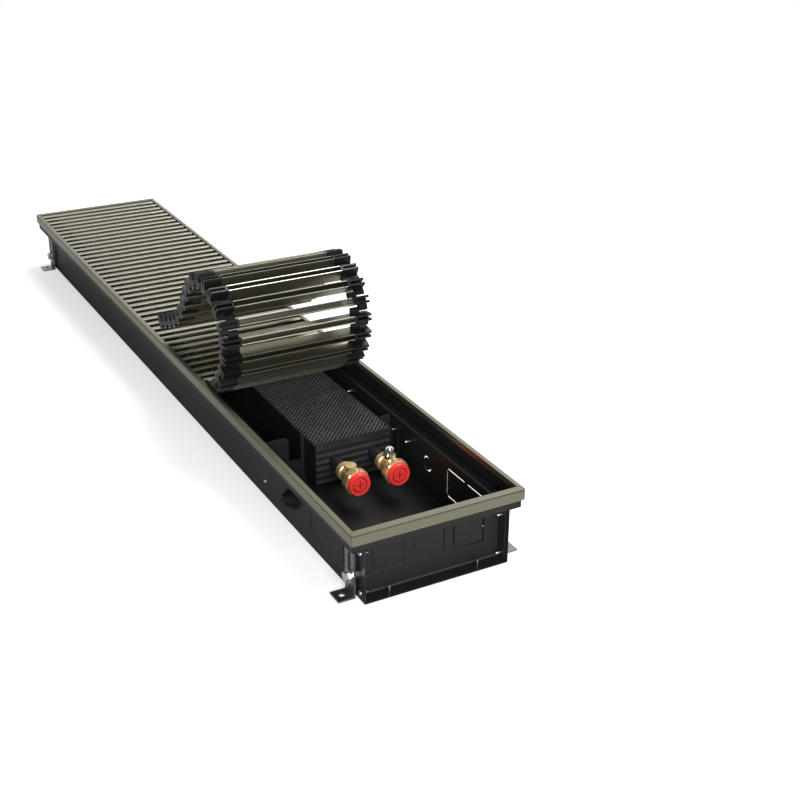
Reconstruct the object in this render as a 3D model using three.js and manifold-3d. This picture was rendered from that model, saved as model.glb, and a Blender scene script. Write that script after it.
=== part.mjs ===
// A floor trench convector heater: a folded steel trough let into the floor, a finned water coil
// with two union valves, a mitred aluminium frame and a roll-up grille that is half rolled back.
// Millimetres. +X runs along the trench to the connection end, +Y across it, +Z up; the origin is
// on the floor under the middle of the trough.
import * as THREE from "three";
import { mergeVertices } from "three/addons/utils/BufferGeometryUtils.js";
import Module from "manifold-3d";

const wasm = await Module();
wasm.setup();

// Driving dimensions ---------------------------------------------------------------------------

const frameLength = 1154;
const frameWidth = 200;
const frameTop = 86; // the finished floor's height over the trench's bottom
const fit = 0.3; // clearance between pieces that seat on each other

const sheet = 1.2; // folded steel of the trough, end plates and brackets
const wallInset = 15.8; // from the frame's edge to the side wall, below the grille's ledge
const rimInset = 2.2; // from the frame's edge to the trough's upper wall
const endInset = 3; // from the frame's edge to the trough's cut end
const underside = 0.5; // the trough hangs this far over the sub-floor
const ledgeDrop = 21.5; // from the floor finish down to the grille's ledge

const frameSheet = 1.2; // wall of the aluminium frame profile
const sideFace = 5; // visible width of the frame along the trench
const endFace = 7.7; // visible width of the frame across the trench
const outerLip = 13; // height of the frame's outer leg
const innerLip = 7; // height of the frame's inner leg
const shadowGap = 1; // height of the groove under the frame's top edge
const shadowDepth = 0.8;

const endPlateInset = 20; // from the frame's edge to the recessed end plate
const flangeReach = 13; // depth of the end plate's screwed side flanges
const slit = 1.7; // width of the punched slits round an end or cable knock-out
const knockoutWidth = 37.5;
const knockoutHeight = 34;
const knockoutPitch = 47.5;
const knockoutShift = -2; // the three end knock-outs sit off centre across the trench
const knockoutFoot = 22; // from the trough's underside to the end knock-outs' lower edge

const sideKnockoutNear = 48; // from the frame's edge to the side knock-out's near edge
const sideKnockoutLength = 81;
const sideKnockoutHeight = 36;
const sideKnockoutDrop = 32; // from the frame's top to its upper edge
const sideSlit = 2.2; // width of its punched slits
const bridge = 6; // sheet left standing between two slits
const cableHoleX = 172; // the round knock-out, from the frame's edge
const cableHoleDrop = 48;
const cableHoleRadius = 9.5;

const stripWidth = 6.7; // rubber strip that the grille rests on
const stripHeight = 1.4;

const barPitch = 18.75;
const rolledBars = 22;
const barHeight = 18.2;
const barWidth = 8.5;
const barWall = 1.2;
const grilleSideGap = 0.5; // between the grille's ends and the frame
const grilleSink = 1; // the bars' tops lie under the frame's top
const linkWidth = 22;
const linkWrap = 0.5; // plastic of a link in front of and behind the bar that it covers
const linkDrop = 3.2; // from a bar's top to the links' arms
const linkFoot = 0.4; // the links stand this far out under the bars
const linkSlotWidth = 3.4; // slot that parts a link into two blades
const linkSlotDepth = 9;
const linkWeb = 3; // plastic left at the slot's inner end
const hingeDrop = 6; // from a bar's top to the hinge between two links
const pinRadius = 1.2;

// How the grille is rolled back: four bends, each a turn in degrees that begins after some bars
// and is shared evenly by the hinges of the next ones.
const bends = [
  { turn: 57.6, after: 0, bars: 5 },
  { turn: 176.6, after: 4.8, bars: 9.7 },
  { turn: -36.7, after: 16.3, bars: 3.3 },
  { turn: 4, after: 14.5, bars: 7.5 },
];

const coilStart = 231; // from the frame's edge to the coil's near face
const coilRear = 93; // from the coil's far face to the frame's far edge
const coilWidth = 99;
const coilHeight = 50;
const coilCentreY = 20; // the coil stands off centre, away from the connection side's wall
const coilDrop = 26; // from the frame's top to the coil's top
const finPitch = 34;
const finThickness = 0.9;
const coilSideSheet = 1;
const tubeRadius = 7.5;
const tubeSpacing = 50;
const collarWall = 1.4; // sleeve that the fins' collars form round a tube
const tubeEnd = 204.3; // from the frame's edge to the tube's near end

const bracketInset = 31; // from the coil's ends to its two cross brackets
const bracketRise = 2.5; // the bracket's edges stand this far over the coil
const bracketNotchWidth = 15;
const bracketNotchDepth = 31;
const bracketNotchGap = 4; // sheet between the notch and the coil
const bracketCorner = 6;
const bracketEar = 30; // width of the raised part beside the notch
const tabLength = 22;
const tabHeight = 42;

const collarRadius = 11;
const collarLength = 9;
const socketDepth = 5;
const neckRadius = 8.5;
const neckLength = 16;
const spigotRadius = 10.2;
const spigotLength = 11;
const bossRadius = 5.5;
const bossRise = 11.5; // from the valve's axis to its boss's face
const bossBore = 3;
const bossBoreDepth = 7;
const nutAcross = 29.4; // over the flats of the eight-sided union nut
const nutLength = 11;
const capRadius = 13.4;
const capThickness = 5;
const plugRadius = 7.4;
const plugThickness = 3;
const ventRadius = 7.2;
const ventHeight = 11;
const ventScrewRadius = 3.2;
const ventScrewHeight = 2.6;
const ventScrewRecess = 1.5;
const ventSlot = 1;

const legInset = 28; // from the frame's edge to a leg's middle
const legWidth = 20;
const legThickness = 2;
const legStandoff = 2.8; // between the strap and the trough's wall
const legTravel = 25; // how far the trench can be levelled up on its legs
const legTop = 60; // top of the strap over the sub-floor
const footReach = 17.3;
const anchorRadius = 3.5;
const boltHeight = 22;
const boltRadius = 3;
const slotPlay = 0.4; // between the bolt and the strap's slot
const boltHeadAcross = 10;
const boltHeadLength = 4;
const washerRadius = 7;
const washerThickness = 1.4;
const sightHoleHeight = 9.5;
const sightHoleRadius = 2.4;

const grommetSteps = 5;
const grommetRadius = 13.5;
const grommetTaper = 1.5; // how much each step is smaller than the last
const grommetStep = 2.6; // length of one step
const grommetFlange = 2;
const grommetBore = 2.5;

// Materials --------------------------------------------------------------------------------------

const finish = (colour, roughness, metalness) =>
  new THREE.MeshStandardMaterial({ color: colour, roughness, metalness });
const blackPowder = finish(0x1b1b1c, 0.62, 0.1);
const blackFins = finish(0x242425, 0.6, 0.2);
const bronzeAnodised = finish(0x8b8672, 0.38, 0.8);
const barAnodised = finish(0x9a9686, 0.36, 0.8);
const blackPlastic = finish(0x1f2123, 0.55, 0);
const rubber = finish(0x101010, 0.85, 0);
const zincPlated = finish(0xa9abab, 0.35, 0.9);
const brass = finish(0xcfa765, 0.3, 0.95);
const nickel = finish(0xcfcfd0, 0.12, 1);
const redPlastic = finish(0xe0342c, 0.4, 0);

// Making and joining solids ----------------------------------------------------------------------

const halfTurn = Math.PI / 2;

// The closed solid that a geometry encloses.
function solid(geometry) {
  const bare = geometry.index ? geometry.toNonIndexed() : geometry.clone();
  bare.deleteAttribute("normal");
  bare.deleteAttribute("uv");
  const merged = mergeVertices(bare, 1e-4);
  return new wasm.Manifold(
    new wasm.Mesh({
      numProp: 3,
      vertProperties: merged.attributes.position.array,
      triVerts: new Uint32Array(merged.index.array),
    }),
  );
}

// The named mesh of a solid, with an optional place of its own.
function piece(name, shape, material, position = [0, 0, 0]) {
  const made = shape.getMesh();
  const geometry = new THREE.BufferGeometry()
    .setAttribute("position", new THREE.BufferAttribute(new Float32Array(made.vertProperties), 3))
    .setIndex(new THREE.BufferAttribute(new Uint32Array(made.triVerts), 1));
  geometry.computeVertexNormals();
  const mesh = new THREE.Mesh(geometry, material);
  mesh.name = name;
  mesh.position.set(...position);
  return mesh;
}

const join = (shapes) => shapes.reduce((whole, next) => whole.add(next));
const cut = (whole, tools) => tools.reduce((left, tool) => left.subtract(tool), whole);

// A box between two corners.
function block([x0, y0, z0], [x1, y1, z1]) {
  const box = new THREE.BoxGeometry(x1 - x0, y1 - y0, z1 - z0);
  return solid(box.translate((x0 + x1) / 2, (y0 + y1) / 2, (z0 + z1) / 2));
}

// A drawn outline of [a, b] points, closed.
function outline(points) {
  return new THREE.Shape(points.map(([a, b]) => new THREE.Vector2(a, b)));
}

// An outline of [y, z] points carried along X.
function alongX(shape, from, to) {
  const run = new THREE.ExtrudeGeometry(shape, {
    depth: to - from,
    bevelEnabled: false,
    curveSegments: 4,
  });
  return solid(run.rotateX(halfTurn).rotateZ(halfTurn).translate(from, 0, 0));
}

// An outline of [x, z] points carried along Y.
function alongY(shape, from, to, curveSegments = 4) {
  const run = new THREE.ExtrudeGeometry(shape, {
    depth: to - from,
    bevelEnabled: false,
    curveSegments,
  });
  return solid(run.rotateX(halfTurn).translate(0, to, 0));
}

// A cylinder or even-sided bar between two distances on one axis, centred on the other two.
function rod(axis, radius, from, to, centre, sides = 12) {
  const bar = new THREE.CylinderGeometry(radius, radius, to - from, sides);
  bar.rotateY(Math.PI / sides).translate(0, (from + to) / 2, 0);
  if (axis === "x") bar.rotateZ(-halfTurn).translate(0, centre[0], centre[1]);
  if (axis === "y") bar.translate(centre[0], 0, centre[1]);
  if (axis === "z") bar.rotateX(halfTurn).translate(centre[0], centre[1], 0);
  return solid(bar);
}

const overFlats = (across, sides) => across / 2 / Math.cos(Math.PI / sides);
const mirrorY = (shape) => shape.mirror([0, 1, 0]);
const mirrorX = (shape) => shape.mirror([1, 0, 0]);
const fromNear = (distance) => frameLength / 2 - distance;

// The trough ---------------------------------------------------------------------------------------

const wallOuter = frameWidth / 2 - wallInset;
const wallInner = wallOuter - sheet;
const rimOuter = frameWidth / 2 - rimInset;
const rimInner = rimOuter - sheet;
const rimTop = frameTop - frameSheet - fit;
const ledgeTop = frameTop - ledgeDrop;
const floorTop = underside + sheet;
const troughEnd = frameLength / 2 - endInset;
const cableHole = [fromNear(cableHoleX), frameTop - cableHoleDrop];
const coilX1 = fromNear(coilStart);
const coilX0 = coilRear - frameLength / 2;
const coilLength = coilX1 - coilX0;
const bracketX = [coilX1 - bracketInset, coilX0 + bracketInset];
const boltX = fromNear(legInset);

// One slit of a side knock-out, through either wall.
function wallSlit(x0, z0, x1, z1) {
  const reach = wallOuter + sheet;
  return [
    block([x0, wallInner - sheet, z0], [x1, reach, z1]),
    block([x0, -reach, z0], [x1, sheet - wallInner, z1]),
  ];
}

// The slits that let the rectangular side knock-out be broken out.
function sideKnockout() {
  const x1 = fromNear(sideKnockoutNear);
  const x0 = x1 - sideKnockoutLength;
  const z1 = frameTop - sideKnockoutDrop;
  const z0 = z1 - sideKnockoutHeight;
  const middle = (x0 + x1) / 2;
  return [
    wallSlit(x0 + sideSlit, z1 - sideSlit, middle - bridge / 2, z1),
    wallSlit(middle + bridge / 2, z1 - sideSlit, x1 - sideSlit, z1),
    wallSlit(x0 + sideSlit, z0, middle - bridge / 2, z0 + sideSlit),
    wallSlit(middle + bridge / 2, z0, x1 - sideSlit, z0 + sideSlit),
    wallSlit(x0, z0 + bridge / 2, x0 + sideSlit, z1 - bridge / 2),
    wallSlit(x1 - sideSlit, z0 + bridge / 2, x1, z1 - bridge / 2),
  ].flat();
}

// The broken ring round the cable knock-out in the right wall.
function cableKnockout() {
  const [x, z] = cableHole;
  const y0 = wallInner - 2 * sheet;
  const y1 = wallOuter + 2 * sheet;
  const disc = rod("y", cableHoleRadius, wallInner - sheet, wallOuter + sheet, [x, z], 12);
  const middle = rod("y", cableHoleRadius - slit, y0, y1, [x, z], 12);
  const reach = cableHoleRadius + slit;
  const bridges = block([x - reach, y0, z - bridge / 2], [x + reach, y1, z + bridge / 2]);
  return cut(disc, [middle, bridges]);
}

// The trough's floor, which meets the feet of both side walls.
function troughFloor() {
  const halfWidth = wallInner - fit;
  return block([-troughEnd, -halfWidth, underside], [troughEnd, halfWidth, floorTop]);
}

// Both side walls with the ledges folded out of their tops, the right one first.
function sideWalls() {
  const section = outline([
    [wallOuter, underside],
    [wallOuter, ledgeTop - sheet],
    [rimOuter, ledgeTop - sheet],
    [rimOuter, ledgeTop],
    [wallInner, ledgeTop],
    [wallInner, underside],
  ]);
  const wall = alongX(section, -troughEnd, troughEnd);
  const [x, z] = cableHole;
  const boltHoles = [boltX, -boltX].map((at) =>
    rod("y", boltRadius + fit, -wallOuter - sheet, wallOuter + sheet, [at, boltHeight], 8),
  );
  const punched = [...sideKnockout(), ...boltHoles];
  const grommetHole = rod("y", cableHoleRadius, -wallOuter - sheet, sheet - wallInner, [x, z], 12);
  return [cut(wall, [...punched, cableKnockout()]), cut(mirrorY(wall), [...punched, grommetHole])];
}

// The upstand folded up along a ledge's outer edge, which carries the frame.
function upstand() {
  return block([-troughEnd, rimInner, ledgeTop + fit], [troughEnd, rimOuter, rimTop]);
}

// The recessed end plates -------------------------------------------------------------------------

// The near end plate: a plate between the side walls, screwed through two flanges, whose top steps
// out into the frame. Three punched knock-outs let pipes through.
function endPlate() {
  const plateX = fromNear(endPlateInset);
  const bottom = floorTop + fit;
  const halfWidth = wallInner - fit;
  const rimX = troughEnd - fit;
  const upright = block([plateX - sheet, -halfWidth, bottom], [plateX, halfWidth, ledgeTop]);
  const step = block([plateX - sheet, -halfWidth, ledgeTop - sheet], [rimX, halfWidth, ledgeTop]);
  const rim = block(
    [rimX - sheet, fit - rimInner, ledgeTop - sheet],
    [rimX, rimInner - fit, rimTop],
  );
  const rimRelief = [1, -1].map((side) => {
    const edges = [side * halfWidth, side * (rimInner + fit)].sort((a, b) => a - b);
    return block([plateX, edges[0], ledgeTop - 2 * sheet], [rimX + sheet, edges[1], ledgeTop + fit]);
  });
  const flange = block(
    [plateX - sheet, halfWidth - sheet, bottom],
    [plateX + flangeReach, halfWidth, ledgeTop - 2 * sheet],
  );
  const z0 = underside + knockoutFoot;
  const slits = [-1, 0, 1].flatMap((n) => {
    const y0 = knockoutShift + n * knockoutPitch - knockoutWidth / 2;
    const y1 = y0 + knockoutWidth;
    const near = plateX + sheet;
    const far = plateX - 2 * sheet;
    return [
      block([far, y0, z0], [near, y0 + slit, z0 + knockoutHeight]),
      block([far, y1 - slit, z0], [near, y1, z0 + knockoutHeight]),
      block([far, y0, z0], [near, y1, z0 + slit]),
    ];
  });
  const body = join([upright, step, rim, flange, mirrorY(flange)]);
  return cut(body, [...rimRelief, ...slits]);
}

// The mitred frame ----------------------------------------------------------------------------------

// An inverted channel with a shadow groove under its top edge, mitred at both ends. Its outline is
// drawn with a = distance from the frame's outer face; the ends are cut back as a grows.
function frameBar(length, face, mitre) {
  const section = outline([
    [0, -outerLip],
    [frameSheet, -outerLip],
    [frameSheet, -frameSheet],
    [face - frameSheet + fit / 2, -frameSheet],
    [face - frameSheet + fit / 2, -innerLip],
    [face, -innerLip],
    [face, 0],
    [0, 0],
    [0, -frameSheet],
    [shadowDepth, -frameSheet],
    [shadowDepth, -frameSheet - shadowGap],
    [0, -frameSheet - shadowGap],
  ]);
  const bar = new THREE.ExtrudeGeometry(section, { depth: 1, bevelEnabled: false });
  const at = bar.attributes.position;
  for (let i = 0; i < at.count; i++) {
    const a = at.getX(i);
    const end = at.getZ(i) > 0.5 ? 1 : -1;
    at.setXYZ(i, end * (length / 2 - fit / 2 - a * mitre), a, at.getY(i));
  }
  return solid(bar.translate(0, 0, frameTop));
}

function frameBars() {
  const side = frameBar(frameLength, sideFace, endFace / sideFace);
  const end = frameBar(frameWidth, endFace, sideFace / endFace);
  const right = side.mirror([0, 1, 0]).translate([0, frameWidth / 2, 0]);
  const near = end.rotate([0, 0, 90]).translate([frameLength / 2, 0, 0]);
  return [
    piece("frame_left", mirrorY(right), bronzeAnodised),
    piece("frame_right", right, bronzeAnodised),
    piece("frame_near", near, bronzeAnodised),
    piece("frame_far", mirrorX(near), bronzeAnodised),
  ];
}

// The rubber strips on the ledges --------------------------------------------------------------------

function restStrip() {
  const outer = frameWidth / 2 - sideFace - fit;
  const bottom = ledgeTop + fit;
  const end = frameLength / 2 - endFace;
  return block([-end, outer - stripWidth, bottom], [end, outer, bottom + stripHeight]);
}

// The roll-up grille -----------------------------------------------------------------------------------

const barTop = frameTop - grilleSink;
const grilleHalf = frameWidth / 2 - sideFace - grilleSideGap;
const laneSplit = grilleHalf - linkWidth / 2;
const barRun = frameLength - 2 * (endFace + grilleSideGap) - barWidth;
const barCount = Math.floor(barRun / barPitch) + 1;
const lastFlatX = ((barCount - 1) / 2 - rolledBars) * barPitch;

const knuckleRadius = hingeDrop - linkDrop;
const barFoot = hingeDrop - barHeight;
const linkBottom = barFoot - linkFoot;
const linkHalf = barWidth / 2 + linkWrap;

// The section of a bar, drawn round the hinge line: a channel that is open below.
function barSection() {
  const w = barWidth / 2;
  return outline([
    [-w, barFoot],
    [barWall - w, barFoot],
    [barWall - w, hingeDrop - barWall],
    [w - barWall, hingeDrop - barWall],
    [w - barWall, barFoot],
    [w, barFoot],
    [w, hingeDrop],
    [-w, hingeDrop],
  ]);
}

// A knuckle: a link's arm, rounded about the hinge at the link's +X end.
function knuckle(from, to) {
  const shape = new THREE.Shape();
  shape.moveTo(linkHalf - fit, -knuckleRadius);
  shape.lineTo(barPitch / 2, -knuckleRadius);
  shape.absarc(barPitch / 2, 0, knuckleRadius, -halfTurn, halfTurn, false);
  shape.lineTo(linkHalf - fit, knuckleRadius);
  return alongY(shape, from, to, 3);
}

// The link's arm that takes the next link's pin, for the +Y end.
function eye() {
  const lane = [grilleHalf - linkWidth, laneSplit - fit / 2];
  const hole = rod("y", pinRadius + 2 * fit, lane[0] - 1, lane[1] + 1, [barPitch / 2, 0], 6);
  return knuckle(...lane).subtract(hole);
}

// The link's arm that carries the pin, for the +Y end.
function pinArm() {
  const arm = mirrorX(knuckle(laneSplit + fit / 2, grilleHalf));
  return arm.add(rod("y", pinRadius, grilleHalf - linkWidth, laneSplit + fit, [-barPitch / 2, 0], 6));
}

// A link's block under the end of its bar, parted into two blades, for the +Y end.
function linkBlock() {
  const inner = grilleHalf - linkWidth;
  const slotTop = linkBottom + linkSlotDepth;
  const body = block([-linkHalf, inner, linkBottom], [linkHalf, grilleHalf, hingeDrop - barWall + fit]);
  const slot = block(
    [-linkSlotWidth / 2, inner + linkWeb, linkBottom - 1],
    [linkSlotWidth / 2, grilleHalf + 1, slotTop],
  );
  return body.subtract(slot);
}

// A bar with its two end links, round its own hinge line. Its legs stop at the links and its top
// runs on over them. The grille's last bar has no eyes.
function linkedBar(isLast) {
  const legEnd = grilleHalf - linkWidth + fit;
  const channel = alongY(barSection(), -legEnd, legEnd);
  const top = block(
    [-barWidth / 2, fit - grilleHalf, hingeDrop - barWall],
    [barWidth / 2, grilleHalf - fit, hingeDrop],
  );
  const link = join([linkBlock(), pinArm(), ...(isLast ? [] : [eye()])]);
  return join([channel, top, link, mirrorY(link)]);
}

// The bars that lie flat, held by their links as one mat.
function flatMat() {
  const bar = alongY(barSection(), fit - grilleHalf, grilleHalf - fit);
  const xs = Array.from({ length: barCount - rolledBars }, (_, n) => lastFlatX - n * barPitch);
  const farEnd = endFace + grilleSideGap - frameLength / 2;
  const links = block(
    [farEnd, grilleHalf - linkWidth, linkBottom],
    [lastFlatX + linkHalf, grilleHalf, knuckleRadius],
  );
  const rail = links.add(eye().translate([lastFlatX, 0, 0]));
  return join([...xs.map((x) => bar.translate([x, 0, 0])), rail, mirrorY(rail)]);
}

// The heading of each rolled bar and the point of the hinge before it.
function rolledPath() {
  const hinge = new THREE.Vector2(lastFlatX + barPitch / 2, barTop - hingeDrop);
  return Array.from({ length: rolledBars }, (_, n) => {
    const shares = bends.map((b) => b.turn * THREE.MathUtils.clamp((n + 1 - b.after) / b.bars, 0, 1));
    const heading = THREE.MathUtils.degToRad(shares.reduce((sum, share) => sum + share, 0));
    const start = hinge.clone();
    const along = new THREE.Vector2(Math.cos(heading), Math.sin(heading));
    hinge.addScaledVector(along, barPitch);
    return { start, heading, middle: start.clone().addScaledVector(along, barPitch / 2) };
  });
}

function grille() {
  const bar = linkedBar(false);
  const lastBar = linkedBar(true);
  const rolled = rolledPath().map(({ heading, middle }, n) => {
    const name = `grille_bar_${String(n + 1).padStart(2, "0")}`;
    const mesh = piece(name, n + 1 < rolledBars ? bar : lastBar, barAnodised);
    mesh.position.set(middle.x, 0, middle.y);
    mesh.rotation.y = -heading;
    return mesh;
  });
  return [piece("grille_flat", flatMat(), barAnodised, [0, 0, barTop - hingeDrop]), ...rolled];
}

// The finned coil ------------------------------------------------------------------------------------

const coilTop = frameTop - coilDrop;
const coilBottom = coilTop - coilHeight;
const tubeZ = (coilTop + coilBottom) / 2;
const tubeY = [-1, 1].map((side) => coilCentreY + (side * tubeSpacing) / 2);
const tubeCorner = overFlats(2 * tubeRadius, 8); // the tube is drawn with eight sides
const coilSide = [-1, 1].map((side) => coilCentreY + (side * coilWidth) / 2);

// Fins on the sleeves that their collars form round the two tubes.
function finPack() {
  const y0 = coilSide[0] + coilSideSheet + fit;
  const y1 = coilSide[1] - coilSideSheet - fit;
  const fin = block([0, y0, coilBottom], [finThickness, y1, coilTop]);
  const count = Math.floor((coilLength - finThickness) / finPitch);
  const step = (coilLength - finThickness) / count;
  const fins = Array.from({ length: count + 1 }, (_, n) => fin.translate([coilX0 + n * step, 0, 0]));
  const bore = tubeCorner + fit;
  const sleeves = tubeY.map((y) => rod("x", bore + collarWall, coilX0, coilX1, [y, tubeZ], 6));
  const bores = tubeY.map((y) => rod("x", bore, coilX0 - 1, coilX1 + 1, [y, tubeZ], 8));
  return cut(join([...fins, ...sleeves]), bores);
}

// A folded side plate that closes the fins' edges.
function coilSidePlate(side) {
  const inward = side === 0 ? coilSideSheet : -coilSideSheet;
  const edges = [coilSide[side], coilSide[side] + inward].sort((a, b) => a - b);
  return block([coilX0, edges[0], coilBottom], [coilX1, edges[1], coilTop]);
}

// One tube through the coil and back: two straight legs and a half-round return bend.
function coilTube() {
  const legs = tubeY.map((y) => rod("x", tubeCorner, coilX0 - 2 * fit, fromNear(tubeEnd), [y, tubeZ], 8));
  const section = outline(
    Array.from({ length: 8 }, (_, n) => {
      const angle = ((n + 0.5) * Math.PI) / 4;
      return [tubeCorner * Math.cos(angle), tubeCorner * Math.sin(angle)];
    }),
  );
  class Bend extends THREE.Curve {
    getPoint(t) {
      const angle = Math.PI * t;
      const r = tubeSpacing / 2;
      return new THREE.Vector3(-r * Math.sin(angle), -r * Math.cos(angle), 0);
    }
  }
  const bend = new THREE.ExtrudeGeometry(section, { steps: 8, extrudePath: new Bend() });
  return join([...legs, solid(bend.translate(coilX0 - fit, coilCentreY, tubeZ))]);
}

// A cross bracket: a plate that cradles the coil, with a raised ear, a pipe notch and a tab folded
// along each wall.
function bracket(x) {
  const bottom = floorTop + fit;
  const reach = wallInner - fit;
  const low = coilBottom - fit;
  const notchY1 = coilSide[0] - fit - bracketNotchGap;
  const notchY0 = notchY1 - bracketNotchWidth;
  const earY = notchY0 - bracketEar;
  const top = coilTop + bracketRise;
  const shoulder = coilTop - tabHeight / 2;
  const shape = new THREE.Shape();
  shape.moveTo(-reach, bottom);
  shape.lineTo(reach, bottom);
  shape.lineTo(reach, top);
  shape.lineTo(coilSide[1] + fit, top);
  shape.lineTo(coilSide[1] + fit, low);
  shape.lineTo(coilSide[0] - fit, low);
  shape.lineTo(coilSide[0] - fit, top);
  shape.lineTo(notchY1, top);
  shape.lineTo(notchY1, top - bracketNotchDepth);
  shape.lineTo(notchY0, top - bracketNotchDepth);
  shape.lineTo(notchY0, top - bracketCorner);
  shape.absarc(notchY0 - bracketCorner, top - bracketCorner, bracketCorner, 0, halfTurn, false);
  shape.absarc(earY + bracketCorner, top - bracketCorner, bracketCorner, halfTurn, 2 * halfTurn, false);
  shape.lineTo(earY, shoulder);
  shape.lineTo(-reach, shoulder);
  const plate = alongX(shape, x - sheet / 2, x + sheet / 2);
  const tabEnd = x < 0 ? x - tabLength : x + tabLength;
  const tabX = [x, tabEnd].sort((a, b) => a - b);
  const tab = block([tabX[0], reach - sheet, bottom], [tabX[1], reach, bottom + tabHeight]);
  return join([plate, tab, mirrorY(tab)]);
}

// The union valves ----------------------------------------------------------------------------------

const collarStart = fromNear(tubeEnd) - socketDepth + fit;
const neckStart = collarStart + collarLength;
const spigotStart = neckStart + neckLength;
const spigotEnd = spigotStart + spigotLength;
const bossX = neckStart + neckLength / 2;
const nutStart = spigotStart + fit;
const capStart = nutStart + nutLength + fit;

// The brass body: a socket on the tube, a neck with a threaded boss on top, and the union's spigot.
function valveBody(y) {
  const at = [y, tubeZ];
  const collar = rod("x", collarRadius, collarStart, neckStart, at, 12);
  const neck = rod("x", neckRadius, neckStart - 1, spigotStart + 1, at, 12);
  const spigot = rod("x", spigotRadius - fit, spigotStart, spigotEnd, at, 12);
  const boss = rod("z", bossRadius, tubeZ, tubeZ + bossRise, [bossX, y], 12);
  const socket = rod("x", tubeCorner + 2 * fit, collarStart - 1, collarStart + socketDepth, at, 12);
  const top = tubeZ + bossRise;
  const bore = rod("z", bossBore, top - bossBoreDepth, top + 1, [bossX, y], 8);
  return cut(join([collar, neck, spigot, boss]), [socket, bore]);
}

// The eight-sided union nut that runs on the spigot.
function unionNut(y) {
  const at = [y, tubeZ];
  const outside = rod("x", overFlats(nutAcross, 8), nutStart, nutStart + nutLength, at, 8);
  const bore = rod("x", overFlats(2 * spigotRadius, 12), nutStart - 1, nutStart + nutLength + 1, at, 12);
  return outside.subtract(bore);
}

// The press-in cap that closes the union in transit: a disc with a raised ring and a plug.
function transitCap(y) {
  const at = [y, tubeZ];
  const face = capStart + capThickness;
  const disc = rod("x", capRadius, capStart, face, at, 16);
  const recess = rod("x", capRadius * 0.72, face - fit * 2, face + 1, at, 12);
  const ring = cut(rod("x", capRadius * 0.6, capStart + fit, face, at, 12), [
    rod("x", capRadius * 0.5, face - fit * 2, face + 1, at, 12),
  ]);
  return join([disc.subtract(recess), ring]);
}

// A flat round plug screwed into the valve's boss.
function drainPlug(y) {
  const seat = tubeZ + bossRise + fit;
  const head = rod("z", plugRadius, seat, seat + plugThickness, [bossX, y], 12);
  const shank = rod("z", bossBore - 2 * fit, seat - bossBoreDepth + fit * 2, seat + 1, [bossX, y], 8);
  return head.add(shank);
}

// The air vent: a domed six-sided body with a slotted screw let into its top.
function airVent(y) {
  const seat = tubeZ + bossRise + fit;
  const top = seat + ventHeight;
  const flats = rod("z", ventRadius, seat, seat + ventHeight / 2, [bossX, y], 6);
  const dome = new THREE.CylinderGeometry(ventRadius * 0.6, ventRadius * 0.87, ventHeight / 2, 12);
  dome.rotateX(halfTurn).translate(bossX, y, top - ventHeight / 4);
  const shank = rod("z", bossBore - 2 * fit, seat - bossBoreDepth + fit * 2, seat + 1, [bossX, y], 8);
  const recess = rod("z", ventScrewRadius + fit, top - ventScrewRecess, top + 1, [bossX, y], 12);
  return cut(join([flats, solid(dome), shank]), [recess]);
}

function ventScrew(y) {
  const foot = tubeZ + bossRise + fit + ventHeight - ventScrewRecess + fit;
  const head = rod("z", ventScrewRadius, foot, foot + ventScrewHeight, [bossX, y], 12);
  const reach = 2 * ventScrewRadius;
  const slotFoot = foot + ventScrewHeight - ventSlot;
  return head.subtract(
    block([bossX - reach, y - ventSlot / 2, slotFoot], [bossX + reach, y + ventSlot / 2, slotFoot + reach]),
  );
}

// Levelling legs ---------------------------------------------------------------------------------------

const strapInner = wallOuter + legStandoff;
const strapOuter = strapInner + legThickness;

// The near right leg: a slotted strap with its foot bent outwards.
function leg() {
  const x0 = boltX - legWidth / 2;
  const x1 = boltX + legWidth / 2;
  const strap = block([x0, strapInner, 0], [x1, strapOuter, legTop]);
  const foot = block([x0, strapInner, 0], [x1, strapOuter + footReach, legThickness]);
  const slotHalf = boltRadius + slotPlay;
  const slotTop = boltHeight + legTravel;
  const past = [strapInner - 1, strapOuter + 1];
  const slot = join([
    rod("y", slotHalf, ...past, [boltX, boltHeight], 8),
    rod("y", slotHalf, ...past, [boltX, slotTop], 8),
    block([boltX - slotHalf * 0.92, past[0], boltHeight], [boltX + slotHalf * 0.92, past[1], slotTop]),
  ]);
  const sightHole = rod("y", sightHoleRadius, ...past, [boltX, sightHoleHeight], 8);
  const anchorY = strapOuter + footReach / 2;
  const anchor = rod("z", anchorRadius, -1, legThickness + 1, [boltX, anchorY], 10);
  return cut(strap.add(foot), [slot, sightHole, anchor]);
}

// The leg's clamp: bolt head and washer outside the strap, a spacer nut, and a nut in the trough.
function legBolt() {
  const at = [boltX, boltHeight];
  const washerFoot = strapOuter + fit;
  const headFoot = washerFoot + washerThickness;
  const hex = overFlats(boltHeadAcross, 6);
  return join([
    rod("y", boltRadius, wallInner - boltHeadLength, headFoot + 1, at, 8),
    rod("y", washerRadius, washerFoot, headFoot, at, 12),
    rod("y", hex, headFoot, headFoot + boltHeadLength, at, 6),
    rod("y", hex, wallOuter + fit, strapInner - fit, at, 6),
    rod("y", hex, wallInner - fit - boltHeadLength, wallInner - fit, at, 6),
  ]);
}

function legs() {
  const corners = [
    ["near_right", (shape) => shape],
    ["near_left", mirrorY],
    ["far_right", mirrorX],
    ["far_left", (shape) => mirrorX(mirrorY(shape))],
  ];
  return corners.flatMap(([name, place]) => [
    piece(`leg_${name}`, place(leg()), zincPlated),
    piece(`leg_bolt_${name}`, place(legBolt()), zincPlated),
  ]);
}

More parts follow.
